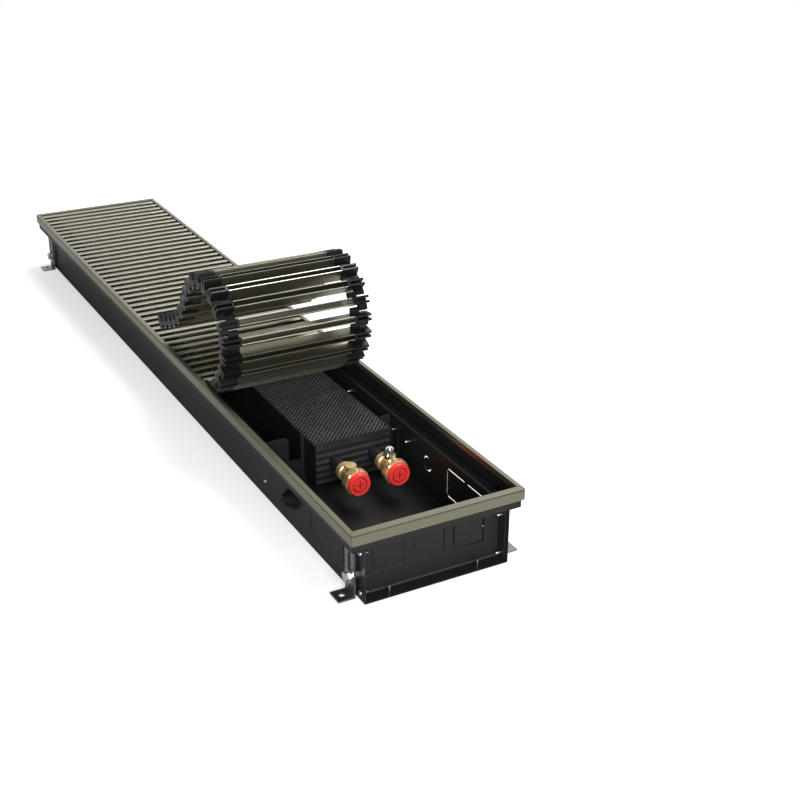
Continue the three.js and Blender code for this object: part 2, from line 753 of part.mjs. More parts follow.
// The stepped rubber cable grommet in the left wall's round hole.
function grommet() {
  const groove = cableHoleRadius - 2 * fit;
  const inside = -sheet - fit;
  const profile = [
    [grommetBore, inside - grommetFlange],
    [grommetRadius - grommetTaper, inside - grommetFlange],
    [grommetRadius - grommetTaper, inside],
    [groove, inside],
    [groove, fit],
  ];
  for (let n = 0; n < grommetSteps; n++) {
    const radius = grommetRadius - n * grommetTaper;
    profile.push([radius, fit + n * grommetStep], [radius, fit + (n + 1) * grommetStep]);
  }
  profile.push([grommetBore, fit + grommetSteps * grommetStep], profile[0]);
  const turned = new THREE.LatheGeometry(profile.map(([r, d]) => new THREE.Vector2(r, d)), 10);
  const [x, z] = cableHole;
  return solid(turned.rotateX(Math.PI).translate(x, -wallOuter, z));
}

// The whole heater -----------------------------------------------------------------------------------

const nearPlate = endPlate();
const strip = restStrip();
const edge = upstand();
const [rightWall, leftWall] = sideWalls();
const heater = new THREE.Group();
heater.add(
  piece("trough_floor", troughFloor(), blackPowder),
  piece("trough_wall_right", rightWall, blackPowder),
  piece("trough_wall_left", leftWall, blackPowder),
  piece("upstand_right", edge, blackPowder),
  piece("upstand_left", mirrorY(edge), blackPowder),
  piece("end_plate_near", nearPlate, blackPowder),
  piece("end_plate_far", mirrorX(nearPlate), blackPowder),
  ...frameBars(),
  piece("rest_strip_right", strip, rubber),
  piece("rest_strip_left", mirrorY(strip), rubber),
  piece("fin_pack", finPack(), blackFins),
  piece("coil_tube", coilTube(), blackFins),
  piece("coil_side_left", coilSidePlate(0), blackPowder),
  piece("coil_side_right", coilSidePlate(1), blackPowder),
  piece("bracket_near", bracket(bracketX[0]), blackPowder),
  piece("bracket_far", bracket(bracketX[1]), blackPowder),
  piece("valve_body_left", valveBody(tubeY[0]), brass),
  piece("valve_body_right", valveBody(tubeY[1]), brass),
  piece("union_nut_left", unionNut(tubeY[0]), brass),
  piece("union_nut_right", unionNut(tubeY[1]), brass),
  piece("cap_left", transitCap(tubeY[0]), redPlastic),
  piece("cap_right", transitCap(tubeY[1]), redPlastic),
  piece("drain_plug", drainPlug(tubeY[0]), brass),
  piece("air_vent", airVent(tubeY[1]), nickel),
  piece("vent_screw", ventScrew(tubeY[1]), nickel),
  ...legs(),
  piece("cable_grommet", grommet(), rubber),
  ...grille(),
);

export default heater;
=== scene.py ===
import math

import bmesh
import bpy
import numpy as np
from mathutils import Matrix, Vector


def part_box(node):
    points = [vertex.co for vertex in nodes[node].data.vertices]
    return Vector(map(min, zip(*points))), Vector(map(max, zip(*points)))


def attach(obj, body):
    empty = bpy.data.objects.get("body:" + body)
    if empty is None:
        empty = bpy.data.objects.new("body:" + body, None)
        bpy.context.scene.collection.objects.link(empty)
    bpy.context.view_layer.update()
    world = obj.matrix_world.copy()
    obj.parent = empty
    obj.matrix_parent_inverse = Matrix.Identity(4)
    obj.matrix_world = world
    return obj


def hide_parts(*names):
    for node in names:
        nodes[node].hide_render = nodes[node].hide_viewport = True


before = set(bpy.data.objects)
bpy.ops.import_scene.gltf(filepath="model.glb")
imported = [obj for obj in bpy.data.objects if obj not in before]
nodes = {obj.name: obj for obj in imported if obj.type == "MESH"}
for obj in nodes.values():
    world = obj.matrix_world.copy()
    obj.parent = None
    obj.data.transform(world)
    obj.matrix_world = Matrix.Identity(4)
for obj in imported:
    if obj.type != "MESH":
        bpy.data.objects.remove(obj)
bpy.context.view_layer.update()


# --- The studio -------------------------------------------------------------------------------
# The heater stands on a plain white floor in soft studio light, with the strongest light high up
# behind its right side, so that its shadow falls softly along the left wall.

floor_reach, floor_drop = 3, 0.0004
corners = [(-1, -1), (1, -1), (1, 1), (-1, 1)]
floor_points = [(x * floor_reach, y * floor_reach, -floor_drop) for x, y in corners]
floor_mesh = bpy.data.meshes.new("studio_floor")
floor_mesh.from_pydata(floor_points, [], [(0, 1, 2, 3)])
studio_floor = bpy.data.objects.new("studio_floor", floor_mesh)
bpy.context.collection.objects.link(studio_floor)


def new_material(name):
    """An empty node material and its Principled shader."""
    made = bpy.data.materials.new(name)
    made.use_nodes = True
    return made, made.node_tree.nodes["Principled BSDF"]


def new_node(tree, kind, values=None, **settings):
    """A node in a tree, with its settings and the values of its unlinked sockets."""
    made = tree.nodes.new("ShaderNode" + kind)
    for setting, value in settings.items():
        setattr(made, setting, value)
    for socket_name, value in (values or {}).items():
        made.inputs[socket_name].default_value = value
    return made


# The camera sees the floor glow, fully so from 2 m out, and metal sees it a little darker.
glow_by_distance = {"From Min": 0.9, "From Max": 2.0, "To Min": 0.5, "To Max": 1.0}
floor_tones = {"A": (0.86, 0.86, 0.86, 1), "B": (0.68, 0.68, 0.68, 1)}
white_floor, floor_shader = new_material("white_floor")
floor_shader.inputs["Roughness"].default_value = 0.8
floor_shader.inputs["Specular IOR Level"].default_value = 0.2
floor_shader.inputs["Emission Color"].default_value = (1, 1, 1, 1)
floor_tree = white_floor.node_tree
floor_path = new_node(floor_tree, "LightPath")
floor_place = new_node(floor_tree, "TexCoord")
from_middle = new_node(floor_tree, "VectorMath", operation="LENGTH")
far_glow = new_node(floor_tree, "MapRange", glow_by_distance)
floor_glow = new_node(floor_tree, "Math", operation="MULTIPLY")
floor_tone = new_node(floor_tree, "Mix", floor_tones, data_type="RGBA")
for source, target in (
    (floor_place.outputs["Object"], from_middle.inputs[0]),
    (from_middle.outputs["Value"], far_glow.inputs["Value"]),
    (floor_path.outputs["Is Camera Ray"], floor_glow.inputs[0]),
    (far_glow.outputs["Result"], floor_glow.inputs[1]),
    (floor_glow.outputs[0], floor_shader.inputs["Emission Strength"]),
    (floor_path.outputs["Is Glossy Ray"], floor_tone.inputs["Factor"]),
    (floor_tone.outputs["Result"], floor_shader.inputs["Base Color"]),
):
    floor_tree.links.new(source, target)
floor_mesh.materials.append(white_floor)

# The world is white where the camera sees it and dim where it lights the heater.
world = bpy.data.worlds.new("studio_world")
bpy.context.scene.world = world
world.use_nodes = True
sky = world.node_tree.nodes["Background"]
sky.inputs["Color"].default_value = (1, 1, 1, 1)
sky_path = new_node(world.node_tree, "LightPath")
sky_seen = new_node(world.node_tree, "Math", operation="MAXIMUM")
sky_level = new_node(world.node_tree, "MapRange", {"To Min": 0.13, "To Max": 1.0})
for source, target in (
    (sky_path.outputs["Is Camera Ray"], sky_seen.inputs[0]),
    (sky_path.outputs["Is Transmission Ray"], sky_seen.inputs[1]),
    (sky_seen.outputs[0], sky_level.inputs["Value"]),
    (sky_level.outputs["Result"], sky.inputs["Strength"]),
):
    world.node_tree.links.new(source, target)


def softbox(name, place, target, width, height, power):
    """A rectangular area light at place, turned towards target."""
    lamp = bpy.data.lights.new(name, "AREA")
    lamp.shape = "RECTANGLE"
    lamp.size, lamp.size_y, lamp.energy = width, height, power
    made = bpy.data.objects.new(name, lamp)
    bpy.context.collection.objects.link(made)
    aim = Vector(np.array(target, float) - np.array(place, float))
    turned_to = aim.to_track_quat("-Z", "Y").to_matrix().to_4x4()
    made.matrix_world = Matrix.Translation(place) @ turned_to
    return made


softbox("high_side_light", (-0.2, 1.3, 2.7), (0, 0, 0), width=2.2, height=1.6, power=72)
softbox("back_panel", (-2.3, 1.15, 1.25), (0, 0, 0.1), width=2.6, height=1.5, power=13)
softbox("front_light", (2.6, -0.65, 1.0), (0.4, 0, 0.05), width=1.4, height=1.1, power=66)

# The camera's place and its three directions follow from the photograph's perspective.
camera = bpy.data.objects.new("camera", bpy.data.cameras.new("camera"))
bpy.context.collection.objects.link(camera)
camera.data.lens = 59.79
camera.data.sensor_width = 36
camera.data.clip_start = 0.05
right = (0.47943836, 0.87755604, 0.00585299)
down = (0.37857799, -0.20080369, -0.90352453)
ahead = (-0.79171811, 0.43540014, -0.42849639)
camera_place = (1.56126, -0.58892, 0.75217)
rows = [(right[n], -down[n], -ahead[n], camera_place[n]) for n in range(3)]
camera.matrix_world = Matrix([*rows, (0, 0, 0, 1)])
bpy.context.scene.camera = camera
bpy.context.scene.view_settings.view_transform = "Standard"


# --- Trough -----------------------------------------------------------------------------------
# Folded steel tray, powder-coated black with a fine, slightly glossy texture. The knock-outs are
# punched through it before the coat, so their edges stay dark.


def surface_finish():
    """Group: a base colour with cloudy wear, a roughness that varies finely, and a fine grain.

    The colour is the shade and the colour mixed by a broad noise. The roughness is its middle
    value plus the spread times a fine noise about zero, and that noise goes out as the grain.
    """
    tree = bpy.data.node_groups.new("surface_finish", "ShaderNodeTree")
    for name, kind, value in (
        ("Colour", "NodeSocketColor", (0.5, 0.5, 0.5, 1)),
        ("Shade", "NodeSocketColor", (0.4, 0.4, 0.4, 1)),
        ("Cloud Scale", "NodeSocketFloat", 20.0),
        ("Grain Scale", "NodeSocketFloat", 900.0),
        ("Roughness", "NodeSocketFloat", 0.4),
        ("Roughness Spread", "NodeSocketFloat", 0.1),
        ("Stretch", "NodeSocketVector", (1.0, 1.0, 1.0)),
    ):
        socket = tree.interface.new_socket(name=name, in_out="INPUT", socket_type=kind)
        socket.default_value = value
    for name, kind in (
        ("Colour", "NodeSocketColor"),
        ("Roughness", "NodeSocketFloat"),
        ("Grain", "NodeSocketFloat"),
    ):
        tree.interface.new_socket(name=name, in_out="OUTPUT", socket_type=kind)
    inside, outside = tree.nodes.new("NodeGroupInput"), tree.nodes.new("NodeGroupOutput")
    where = new_node(tree, "TexCoord")
    stretched = new_node(tree, "VectorMath", operation="MULTIPLY")
    cloud = new_node(tree, "TexNoise", {"Detail": 4})
    grain = new_node(tree, "TexNoise", {"Detail": 2})
    mix = new_node(tree, "Mix", data_type="RGBA")
    centred = new_node(tree, "Math", {1: 0.5}, operation="SUBTRACT")
    spread = new_node(tree, "Math", operation="MULTIPLY_ADD")
    for source, target in (
        (where.outputs["Object"], stretched.inputs[0]),
        (inside.outputs["Stretch"], stretched.inputs[1]),
        (stretched.outputs[0], cloud.inputs["Vector"]),
        (inside.outputs["Cloud Scale"], cloud.inputs["Scale"]),
        (stretched.outputs[0], grain.inputs["Vector"]),
        (inside.outputs["Grain Scale"], grain.inputs["Scale"]),
        (cloud.outputs["Fac"], mix.inputs["Factor"]),
        (inside.outputs["Shade"], mix.inputs["A"]),
        (inside.outputs["Colour"], mix.inputs["B"]),
        (grain.outputs["Fac"], centred.inputs[0]),
        (centred.outputs[0], spread.inputs[0]),
        (inside.outputs["Roughness Spread"], spread.inputs[1]),
        (inside.outputs["Roughness"], spread.inputs[2]),
        (mix.outputs["Result"], outside.inputs["Colour"]),
        (spread.outputs[0], outside.inputs["Roughness"]),
        (grain.outputs["Fac"], outside.inputs["Grain"]),
    ):
        tree.links.new(source, target)
    return tree


finish_group = surface_finish()


def finish(name, colour, shade, roughness, metallic=0.0, cloud=20.0, grain=900.0, spread=0.15,
           bump=0.05, depth=0.0002, stretch=(1, 1, 1), specular=0.5):
    """A material whose colour, roughness and grain come from the surface finish group."""
    made, shader = new_material(name)
    tree = made.node_tree
    group = tree.nodes.new("ShaderNodeGroup")
    group.node_tree = finish_group
    for socket_name, value in (
        ("Colour", (*colour, 1)),
        ("Shade", (*shade, 1)),
        ("Cloud Scale", cloud),
        ("Grain Scale", grain),
        ("Roughness", roughness),
        ("Roughness Spread", spread),
        ("Stretch", stretch),
    ):
        group.inputs[socket_name].default_value = value
    shader.inputs["Metallic"].default_value = metallic
    shader.inputs["Specular IOR Level"].default_value = specular
    raised = new_node(tree, "Bump", {"Strength": bump, "Distance": depth})
    for source, target in (
        (group.outputs["Colour"], shader.inputs["Base Color"]),
        (group.outputs["Roughness"], shader.inputs["Roughness"]),
        (group.outputs["Grain"], raised.inputs["Height"]),
        (raised.outputs["Normal"], shader.inputs["Normal"]),
    ):
        tree.links.new(source, target)
    return made


def clothe(material, *names):
    """Gives CAD nodes their material."""
    for name in names:
        nodes[name].data.materials.clear()
        nodes[name].data.materials.append(material)


black_powder = finish("black_powder_coat", (0.02, 0.02, 0.0195), (0.013, 0.013, 0.0127), 0.42,
                      grain=1400, bump=0.25, specular=0.2)
clothe(black_powder, "trough_floor", "trough_wall_left", "trough_wall_right", "upstand_left",
       "upstand_right")


# --- Wall fasteners ---------------------------------------------------------------------------
# Pan-head screws hold the end plates' flanges, and hollow rivets and studs fix the coil's
# brackets. All are zinc-plated steel, and the rivets are lacquered over.


def piece(name, parts, material, body, replaces=(), smooth=40):
    """One mesh out of (points in mm, faces) parts, welded, facing outwards, riding on its body."""
    points, faces, base = [], [], 0
    for some_points, some_faces in parts:
        points.append(np.asarray(some_points, float).reshape(-1, 3))
        faces += [tuple(int(i) + base for i in face) for face in some_faces]
        base += len(points[-1])
    mesh = bpy.data.meshes.new(name)
    mesh.from_pydata((np.concatenate(points) / 1000).tolist(), [], faces)
    work = bmesh.new()
    work.from_mesh(mesh)
    bmesh.ops.remove_doubles(work, verts=work.verts, dist=1e-6)
    bmesh.ops.recalc_face_normals(work, faces=work.faces)
    work.to_mesh(mesh)
    work.free()
    mesh.shade_smooth()
    mesh.set_sharp_from_angle(angle=math.radians(smooth))
    made = bpy.data.objects.new(name, mesh)
    bpy.context.collection.objects.link(made)
    mesh.materials.append(material)
    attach(made, body)
    if replaces:
        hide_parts(*replaces)
    return made


def grid(points, around=False):
    """The faces of a grid of points: each joins a point to the next in its row and its column.

    With around, the last point of each row is joined to its first one, which closes a ring.
    """
    rows, columns = points.shape[:2]
    index = np.arange(rows * columns).reshape(rows, columns)
    if around:
        index = np.concatenate([index, index[:, :1]], axis=1)
    around_each = [index[:-1, :-1], index[1:, :-1], index[1:, 1:], index[:-1, 1:]]
    return points.reshape(-1, 3), np.stack(around_each, axis=-1).reshape(-1, 4).tolist()


def turned(profile, centre, axis="z", sides=32):
    """A profile of (radius, height) pairs turned about an axis through centre, with flat ends.

    A point is the radius times the cosine and the sine of the turn, and the height along the axis.
    """
    r, h = np.array(profile, float).T
    turn = np.arange(sides) * 2 * np.pi / sides
    heights = np.repeat(h[:, None], sides, 1)
    ring = np.stack([r[:, None] * np.cos(turn), r[:, None] * np.sin(turn), heights], axis=-1)
    order = {"z": [0, 1, 2], "x": [2, 0, 1], "y": [1, 2, 0]}[axis]
    points, faces = grid(ring[..., order] + np.array(centre, float), around=True)
    for row in (0, len(profile) - 1):
        if r[row] > 0:
            faces.append([row * sides + n for n in range(sides)])
    return points, faces


def turned_ring(profile, centre, axis, sides):
    """A closed profile turned about an axis, as turned does it, with a hole through its middle."""
    points = turned(profile + profile[:1], centre, axis, sides)[0]
    return grid(points.reshape(-1, sides, 3), around=True)


def mirrored(parts):
    """The same parts at the trench's other end: each point's x changes its sign."""
    return [(np.asarray(points).reshape(-1, 3) * (-1, 1, 1), faces) for points, faces in parts]


zinc = finish("bright_zinc", (0.62, 0.62, 0.61), (0.42, 0.42, 0.43), 0.3, metallic=1.0, cloud=160,
              grain=1800, bump=0.1)
dull_rivet = finish("lacquered_rivet", (0.055, 0.055, 0.056), (0.03, 0.03, 0.03), 0.35,
                    metallic=0.5)
outer_wall, sheet = 84.2, 1.2
inner_wall = outer_wall - sheet
flange_face = inner_wall - 1.8
flange_x, flange_heights = 564, (54.5, 8.5)
bracket_holes, low_hole, plain_stud = [(327, 48), (363, 48)], (327, 21), (213, 51)

pan_head = [(0, 1.9), (1.3, 1.8), (2.3, 1.2), (2.7, 0.3), (2.7, 0.05), (0, 0.05)]
screw_tip = [(0, -6.2), (1.1, -5.9), (1.5, -5.3), (1.5, -0.1), (0, -0.1)]
rivet = [(1.2, 0.05), (2.6, 0.05), (2.6, 0.5), (2.0, 0.9), (1.5, 0.7), (1.2, 0.2)]
stud_head = [(0, 1.6), (1.4, 1.5), (2.3, 0.8), (2.5, 0.05), (0, 0.05)]
stud = [(0, -6.5), (1.0, -6.2), (1.4, -5.4), (1.4, -0.1), (0, -0.1)]


def on_wall(profile, side, face):
    """A profile whose heights stand out from a wall's face, on the right (1) or the left (-1)."""
    return [(r, side * (face + h)) for r, h in profile]


screws, rivets, studs = [], [], []
for side in (1, -1):
    for z in flange_heights:
        at = (flange_x, 0, z)
        screws.append(turned(on_wall(pan_head, side, outer_wall), at, "y", 16))
        screws.append(turned(on_wall(screw_tip, side, flange_face), at, "y", 12))
    for x, z in bracket_holes:
        rivets.append(turned_ring(on_wall(rivet, side, outer_wall), (x, 0, z), "y", 16))
    x, z = low_hole
    studs.append(turned(on_wall(stud_head, side, outer_wall), (x, 0, z), "y", 16))
    for x, z in (*bracket_holes, plain_stud):
        studs.append(turned(on_wall(stud, side, inner_wall), (x, 0, z), "y", 12))
piece("flange_screws", screws + mirrored(screws), zinc, "casing")
piece("wall_rivets", rivets, dull_rivet, "casing")
piece("wall_studs", studs, zinc, "casing")


# --- End plates -------------------------------------------------------------------------------
# Folded plates let in between the side walls, in the same black powder coat. Two short pins stand
# on the tray's floor in front of each.

matt_powder = finish("matt_powder_coat", (0.02, 0.02, 0.0195), (0.014, 0.014, 0.0137), 0.5,
                     grain=1400, bump=0.25, specular=0.18)
clothe(matt_powder, "end_plate_near", "end_plate_far")
pin = [(0, 2.05), (1.1, 2.05), (1.1, 8.6), (1.6, 8.8), (1.6, 10.2), (1.1, 10.6), (0, 10.6)]
pin_x, pin_ys = 567, (-53, 51)
locating_pins = [turned(pin, (pin_x, y, 0), "z", 14) for y in pin_ys]
piece("locating_pins", locating_pins + mirrored(locating_pins), zinc, "casing")


def prism(outline, start, end, axis="x"):
    """A closed outline of (a, b) pairs carried along an axis from start to end, with flat ends."""
    ab = np.array(outline, float)
    rows = []
    for place in (start, end):
        d = np.full(len(ab), float(place))
        rows.append(np.stack({"x": [d, *ab.T], "y": [ab[:, 0], d, ab[:, 1]],
                              "z": [*ab.T, d]}[axis], -1))
    points, faces = grid(np.stack(rows), around=True)
    count = len(ab)
    return points, faces + [list(range(count)), list(range(count, 2 * count))]


# The plate's foot bend is rounder and smoother than the rest, and coloured lighter than the powder
# coat as a painted highlight, so it shows as a thin line.
bend_painted_highlight = finish("smooth_bend_painted_highlight", (0.05, 0.05, 0.049), (0.035, 0.035, 0.034), 0.3,
                    grain=1400, bump=0.1, specular=0.7)
plate_x, plate_z, plate_half, bend_radius = 557.05, 1.75, 82.6, 1.5
quarter = np.linspace(0, np.pi / 2, 7)
foot_bend = [(plate_x, plate_z)]
foot_bend += [(plate_x + bend_radius * math.sin(t), plate_z + bend_radius * math.cos(t))
              for t in quarter]
bend_run = [prism(foot_bend, -plate_half, plate_half, "y")]
piece("plate_foot_bends", bend_run + mirrored(bend_run), bend_painted_highlight, "casing")


# --- Frame ------------------------------------------------------------------------------------
# Four mitred lengths of light bronze anodised aluminium. Fine lines from the die run along each
# length, and a shadow groove parts the top face from the outer lip.

bronze = dict(colour=(0.25, 0.238, 0.17), shade=(0.2, 0.19, 0.135), roughness=0.34, metallic=0.85,
              cloud=60, grain=500, spread=0.12, bump=0.06)
along_bronze = finish("bronze_anodised_sides", stretch=(0.03, 1, 1), **bronze)
across_bronze = finish("bronze_anodised_ends", stretch=(1, 0.03, 1), **bronze)
clothe(along_bronze, "frame_left", "frame_right")
clothe(across_bronze, "frame_near", "frame_far")


# --- Rest strips ------------------------------------------------------------------------------
# Black rubber strips lie on the side walls' ledges. They carry the grille and keep it from
# rattling.

black_rubber = finish("black_rubber", (0.008, 0.008, 0.008), (0.005, 0.005, 0.005), 0.55,
                      cloud=120, grain=1500, bump=0.3, specular=0.22)
clothe(black_rubber, "rest_strip_left", "rest_strip_right")


# --- Coil -------------------------------------------------------------------------------------
# Wavy aluminium fins, closely stacked on two tubes and lacquered black, with plain side plates.
# Their upper edges are crimped, so that neighbours nearly meet and the top looks like a comb.

fin_low, fin_high = (np.array(corner) * 1000 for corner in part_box("fin_pack"))
fin_black = finish("black_fin_lacquer", (0.028, 0.028, 0.03), (0.016, 0.016, 0.017), 0.38,
                   metallic=0.2, cloud=60, grain=1200, bump=0.1)
# The fins behind the nearest one are coloured darker than its black lacquer: painted shade between
# the fins.
inner_fins_painted_shade = finish("inner_fin_lacquer_painted_shade", (0.009, 0.009, 0.0095), (0.006, 0.006, 0.006), 0.5,
                   cloud=60, grain=1200, specular=0.15)
# Light grey strips along the fins' top edges are a painted highlight.
fin_edge_painted_highlight = finish("fin_top_painted_highlight", (0.3, 0.3, 0.305), (0.14, 0.14, 0.142), 0.38, metallic=0.6,
                  cloud=90, grain=1200)
fin_pitch, fin_sheet_thickness, end_gap = 3.2, 0.3, 2.2
cell, crimp, crimp_flatness = 5.7, 1.25, 1.6
crimp_reach, crimp_fade = 9, 6
ripple_height, ripple_pitch = 0.9, 8.3
edge_width, edge_height, edge_lift = 0.5, 0.5, 0.05
fin_foot, fin_top = fin_low[2], fin_high[2]


def fin_sheet(x, sign, heights, thickness=fin_sheet_thickness, crimp=crimp):
    """One fin: its offset along the coil is a clipped sine wave across it near its top edge.

    Below the top the wave fades, and a cosine of the height takes over as flat ripples.
    """
    y = np.arange(fin_low[1] + 0.4, fin_high[1] - 0.3, cell / 4)
    z = np.array(heights, float)
    fade = np.clip((z - (fin_top - crimp_reach)) / crimp_fade, 0, 1)[:, None]
    wave = np.sin(2 * np.pi * (y - y[0]) / cell + np.pi / 4)
    flattened = np.clip(crimp_flatness * wave, -1, 1)[None]
    ripple = ripple_height * np.cos(2 * np.pi * (z - fin_top) / ripple_pitch)[:, None]
    offset = sign * crimp * flattened * fade + ripple * (1 - fade)
    across = np.broadcast_to(y, offset.shape)
    up = np.broadcast_to(z[:, None], offset.shape)
    front, back = (np.stack([x + offset + d, across, up], -1)
                   for d in (-thickness / 2, thickness / 2))
    rows, columns = offset.shape
    count = rows * columns
    points = np.concatenate([front.reshape(-1, 3), back.reshape(-1, 3)])
    front_faces = grid(front)[1]
    back_faces = (np.array(front_faces) + count).tolist()
    index = np.arange(count).reshape(rows, columns)
    rim = np.concatenate([index[0], index[1:, -1], index[-1, -2::-1], index[-2:0:-1, 0]])
    next_rim = np.roll(rim, -1)
    rim_faces = np.stack([rim, next_rim, next_rim + count, rim + count], -1).tolist()
    return points, front_faces + back_faces + rim_faces


# Each fin's wave is the mirror of its neighbour's. The nearest fin is plain and shows its face;
# the fins behind it are coloured darker as painted shade.
fin_x = np.arange(fin_high[0] - end_gap, fin_low[0] + end_gap, -fin_pitch)
middle_fin = len(fin_x) // 2
plain_heights = [fin_foot, fin_top - 10, fin_top - 3, fin_top]
edge_heights = [fin_top - edge_height, fin_top + edge_lift]
for end, run in (("near", fin_x[1:middle_fin]), ("far", fin_x[middle_fin:])):
    signed = [(x, 1 if n % 2 else -1) for n, x in enumerate(run)]
    sheets = [fin_sheet(x, sign, plain_heights) for x, sign in signed]
    piece(f"fins_{end}", sheets, inner_fins_painted_shade, "casing",
          replaces=("fin_pack",) if end == "near" else (), smooth=60)
    edges = [fin_sheet(x, sign, edge_heights, edge_width) for x, sign in signed]
    piece(f"fin_edge_highlights_{end}", edges, fin_edge_painted_highlight, "casing", smooth=60)
face_heights = [*np.linspace(fin_foot, fin_top - crimp_reach, 26), fin_top - 6, fin_top - 3,
                fin_top]
piece("front_fin", [fin_sheet(fin_x[0], 1, face_heights, crimp=0)], fin_black, "casing",
      smooth=60)
clothe(black_powder, "coil_side_left", "coil_side_right", "bracket_near", "bracket_far")

# One tube runs in along the left, round a half circle past the far fins, and back on the right.
tube_black = finish("black_tube_lacquer", (0.018, 0.018, 0.019), (0.01, 0.01, 0.011), 0.4,
                    cloud=70, grain=1000, bump=0.1)
tube_low, tube_high = (np.array(corner) * 1000 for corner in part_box("coil_tube"))
tube_radius, tube_z = 7.5, 35
left_y, right_y = tube_low[1] + tube_radius, tube_high[1] - tube_radius
tube_ys = {"left": left_y, "right": right_y}


def swept_tube(route, radius, sides=24):
    """A round tube along a flat route of (x, y) pairs at the coil's height.

    A ring's point is the route's point, plus the radius times the cosine of the turn square to
    the route and times its sine upwards.
    """
    way = np.array(route, float)
    step = np.gradient(way, axis=0)
    step /= np.linalg.norm(step, axis=1)[:, None]
    square = np.stack([-step[:, 1], step[:, 0]], -1)
    turn = np.arange(sides) * 2 * np.pi / sides
    ring = np.zeros((len(way), sides, 3))
    ring[..., :2] = way[:, None] + radius * np.cos(turn)[None, :, None] * square[:, None]
    ring[..., 2] = tube_z + radius * np.sin(turn)
    points, faces = grid(ring, around=True)
    last = (len(way) - 1) * sides
    return points, faces + [list(range(sides)), list(range(last, last + sides))]


bend_x = fin_low[0] - 0.5
bend_reach, bend_middle = (right_y - left_y) / 2, (right_y + left_y) / 2
half_turn = np.linspace(0, np.pi, 25)
straight = [tube_high[0] - 0.1, 200, bend_x + 1]
route = [(x, left_y) for x in straight]
route += list(zip(bend_x - bend_reach * np.sin(half_turn),
                  bend_middle - bend_reach * np.cos(half_turn)))
route += [(x, right_y) for x in straight[::-1]]
piece("tubes", [swept_tube(route, tube_radius)], tube_black, "casing",
      replaces=("coil_tube",))


# --- Union valves -----------------------------------------------------------------------------
# Turned and milled brass: a collar on the tube, a neck with a boss on top, and an eight-sided
# union nut. The left boss is plugged, the right one holds a plated air vent.

brass_bright = finish("machined_brass", (1.0, 0.75, 0.39), (0.92, 0.64, 0.29), 0.35, metallic=0.8,
                      cloud=90, grain=1600, bump=0.06)
valve_low, valve_high = (np.array(corner) * 1000 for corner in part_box("valve_body_left"))
nut_low, nut_high = (np.array(corner) * 1000 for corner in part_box("union_nut_left"))
boss_x = valve_low[0] + 17
body_end = valve_high[0] - valve_low[0] - 0.1
collar = [(8.6, 0.2), (10.2, 0.05), (10.9, 0.8), (10.9, 8.0), (10.2, 8.8), (8.6, 9.3)]
neck = [(8.3, 12), (8.3, 22), (8.8, 24.4), (9.7, 25.2), (9.7, body_end)]
bore = [(8, body_end), (8, 26), (7.9, 4)]
boss = [(0, 40), (5.3, 40), (5.3, 45.6), (4.9, 46.3), (0, 46.3)]
for side, y in tube_ys.items():
    shell = turned_ring(collar + neck + bore, (valve_low[0], y, tube_z), "x", 40)
    piece(f"valve_{side}", [shell, turned(boss, (boss_x, y, 0), "z", 28)], brass_bright, "casing",
          replaces=(f"valve_body_{side}",))

nut_flat, nut_face, nut_bore, nut_chamfer = 14.6, 14.2, 10.3, 0.9


def union_nut(y):
    """An eight-sided bar whose ends are chamfered to a circle, with a plain bore.

    A side's radius is the distance to the flat over the cosine of the angle from its middle, and
    at the ends it isn't more than the chamfer's circle.
    """
    x0, x1 = nut_low[0] + 0.05, nut_high[0] - 0.05
    length = x1 - x0
    turn = (np.arange(64) + 0.5) * 2 * np.pi / 64
    octagon = nut_flat / np.cos(turn % (np.pi / 4) - np.pi / 8)
    chamfered = np.minimum(octagon, nut_face)
    plain = np.full(64, nut_bore)
    rings = [np.stack([np.full(64, x0 + d), y + r * np.cos(turn), tube_z + r * np.sin(turn)], -1)
             for d, r in ((0, chamfered), (nut_chamfer, octagon), (length - nut_chamfer, octagon),
                          (length, chamfered), (length, plain), (0, plain))]
    return grid(np.stack(rings + rings[:1]), around=True)


for side, y in tube_ys.items():
    piece(f"nut_{side}", [union_nut(y)], brass_bright, f"union_nut_{side}",
          replaces=(f"union_nut_{side}",), smooth=25)


# --- Transit caps -----------------------------------------------------------------------------
# Red polythene caps are pressed into the unions for transit. Each has a bevelled rim, a ring
# groove and a small cross moulded into its face, and dark red sheets on the grooves' floors are
# painted shade.

cap_red = finish("cap_red", (1.0, 0.06, 0.05), (0.92, 0.045, 0.04), 0.36, cloud=120, grain=900,
                 bump=0.08)
groove_painted_shade = finish("cap_groove_painted_shade", (0.3, 0.008, 0.008), (0.22, 0.006, 0.006), 0.5, cloud=120,
                    grain=900, bump=0.08)
cap_low, cap_high = (np.array(corner) * 1000 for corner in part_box("cap_left"))
cap_radius, cap_bevel = 13.3, 1.2
groove_radius, groove_half, groove_depth = 8.4, 0.7, 1.7
cross_reach, cross_half = 5.4, 0.75
dish_from, dish_to, dish_depth = 9.4, 11.9, 0.35
shade_sheet_depth, shade_sheet_thickness = 1.1, 0.4


